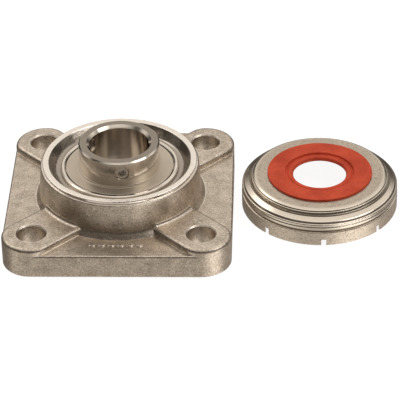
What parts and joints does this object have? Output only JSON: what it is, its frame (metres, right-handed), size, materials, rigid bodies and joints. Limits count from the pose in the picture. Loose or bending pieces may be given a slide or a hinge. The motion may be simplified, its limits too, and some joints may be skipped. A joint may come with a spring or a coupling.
{
  "type": "flange mount bearing",
  "caption": "Square flanged housing with a self-aligning ball bearing insert for a shaft, and a push-on cover with a lip seal lying beside it.",
  "frame": {"origin": "centre of the flange's back face, on the shaft's axis", "axes": "+Z along the shaft's axis, out of the flange's front; +X along one side of the square flange, towards the cover; +Y along the other side, towards the grease nipple"},
  "size_m": [0.1648, 0.095, 0.0358],
  "materials": {
    "cast_stainless": "bead-blasted",
    "ground_steel": "ground",
    "ball_steel": "polished",
    "pressed_steel": "satin",
    "slinger_steel": "matt",
    "nitrile_rubber": "matt",
    "screw_steel": "satin",
    "nipple_steel": "satin",
    "spring_steel": "drawn",
    "spun_stainless": "satin spun",
    "red_silicone": "matt"
  },
  "bodies": {
    "housing": {"housing": "cast_stainless", "grease_nipple": "nipple_steel", "nipple_spring": "spring_steel"},
    "alignment_pin": {"anti_rotation_pin": "ball_steel"},
    "outer_ring": {"outer_ring": "ground_steel", "seal_plate_front": "pressed_steel", "seal_plate_back": "pressed_steel", "seal_lip_front": "nitrile_rubber", "seal_lip_back": "nitrile_rubber"},
    "inner_ring": {"inner_ring": "ground_steel", "slinger_front": "slinger_steel", "slinger_back": "slinger_steel"},
    "cage": {"cage_half_front": "pressed_steel", "cage_half_back": "pressed_steel", "cage_rivets": "pressed_steel"},
    "ball_1": {"ball_1": "ball_steel"},
    "ball_2": {"ball_2": "ball_steel"},
    "ball_3": {"ball_3": "ball_steel"},
    "ball_4": {"ball_4": "ball_steel"},
    "ball_5": {"ball_5": "ball_steel"},
    "ball_6": {"ball_6": "ball_steel"},
    "ball_7": {"ball_7": "ball_steel"},
    "ball_8": {"ball_8": "ball_steel"},
    "ball_9": {"ball_9": "ball_steel"},
    "set_screw_1": {"set_screw_1": "screw_steel"},
    "set_screw_2": {"set_screw_2": "screw_steel"},
    "nipple_ball": {"nipple_ball": "ball_steel"},
    "cover": {"cover_shell": "spun_stainless", "cover_seal": "red_silicone"}
  },
  "joints": [
    {"name": "align_x", "type": "hinge", "parent": "housing", "child": "alignment_pin", "pos_m": [0, 0, 0.016], "axis": [1, 0, 0], "range_deg": [-2, 2]},
    {"name": "align_y", "type": "hinge", "parent": "alignment_pin", "child": "outer_ring", "pos_m": [0, 0, 0.016], "axis": [0, 1, 0], "range_deg": [-2, 2]},
    {"name": "shaft_spin", "type": "hinge", "parent": "outer_ring", "child": "inner_ring", "pos_m": [0, 0, 0.016], "axis": [0, 0, 1], "continuous": true},
    {"name": "cage_orbit", "type": "hinge", "parent": "outer_ring", "child": "cage", "pos_m": [0, 0, 0.016], "axis": [0, 0, 1], "continuous": true},
    {"name": "ball_1_roll", "type": "hinge", "parent": "cage", "child": "ball_1", "pos_m": [0.0195, 0, 0.016], "axis": [0, 0, 1], "continuous": true},
    {"name": "ball_2_roll", "type": "hinge", "parent": "cage", "child": "ball_2", "pos_m": [0.01494, 0.01253, 0.016], "axis": [0, 0, 1], "continuous": true},
    {"name": "ball_3_roll", "type": "hinge", "parent": "cage", "child": "ball_3", "pos_m": [0.00339, 0.0192, 0.016], "axis": [0, 0, 1], "continuous": true},
    {"name": "ball_4_roll", "type": "hinge", "parent": "cage", "child": "ball_4", "pos_m": [-0.00975, 0.01689, 0.016], "axis": [0, 0, 1], "continuous": true},
    {"name": "ball_5_roll", "type": "hinge", "parent": "cage", "child": "ball_5", "pos_m": [-0.01832, 0.00667, 0.016], "axis": [0, 0, 1], "continuous": true},
    {"name": "ball_6_roll", "type": "hinge", "parent": "cage", "child": "ball_6", "pos_m": [-0.01832, -0.00667, 0.016], "axis": [0, 0, 1], "continuous": true},
    {"name": "ball_7_roll", "type": "hinge", "parent": "cage", "child": "ball_7", "pos_m": [-0.00975, -0.01689, 0.016], "axis": [0, 0, 1], "continuous": true},
    {"name": "ball_8_roll", "type": "hinge", "parent": "cage", "child": "ball_8", "pos_m": [0.00339, -0.0192, 0.016], "axis": [0, 0, 1], "continuous": true},
    {"name": "ball_9_roll", "type": "hinge", "parent": "cage", "child": "ball_9", "pos_m": [0.01494, -0.01253, 0.016], "axis": [0, 0, 1], "continuous": true},
    {"name": "set_screw_1_travel", "type": "slide", "parent": "inner_ring", "child": "set_screw_1", "axis": [0.1219, -0.9925, 0], "range_m": [-0.0004, 0.003]},
    {"name": "set_screw_2_travel", "type": "slide", "parent": "inner_ring", "child": "set_screw_2", "axis": [-0.9205, 0.3907, 0], "range_m": [-0.0004, 0.003]},
    {"name": "nipple_valve", "type": "slide", "parent": "housing", "child": "nipple_ball", "axis": [0, -1, 0], "range_m": [0, 0.0006], "stiffness_N_per_m": 60, "springref_m": -0.0005, "deforming": ["nipple_spring"]},
    {"name": "cover_lift", "type": "slide", "parent": "housing", "child": "cover", "axis": [0, 0, 1], "range_m": [0, 0.06]}
  ],
  "couplings": [
    {"joint": "cage_orbit", "follows": "shaft_spin", "ratio": 0.39823},
    {"joint": "ball_1_roll", "follows": "shaft_spin", "ratio": -2.3548},
    {"joint": "ball_2_roll", "follows": "shaft_spin", "ratio": -2.3548},
    {"joint": "ball_3_roll", "follows": "shaft_spin", "ratio": -2.3548},
    {"joint": "ball_4_roll", "follows": "shaft_spin", "ratio": -2.3548},
    {"joint": "ball_5_roll", "follows": "shaft_spin", "ratio": -2.3548},
    {"joint": "ball_6_roll", "follows": "shaft_spin", "ratio": -2.3548},
    {"joint": "ball_7_roll", "follows": "shaft_spin", "ratio": -2.3548},
    {"joint": "ball_8_roll", "follows": "shaft_spin", "ratio": -2.3548},
    {"joint": "ball_9_roll", "follows": "shaft_spin", "ratio": -2.3548}
  ]
}
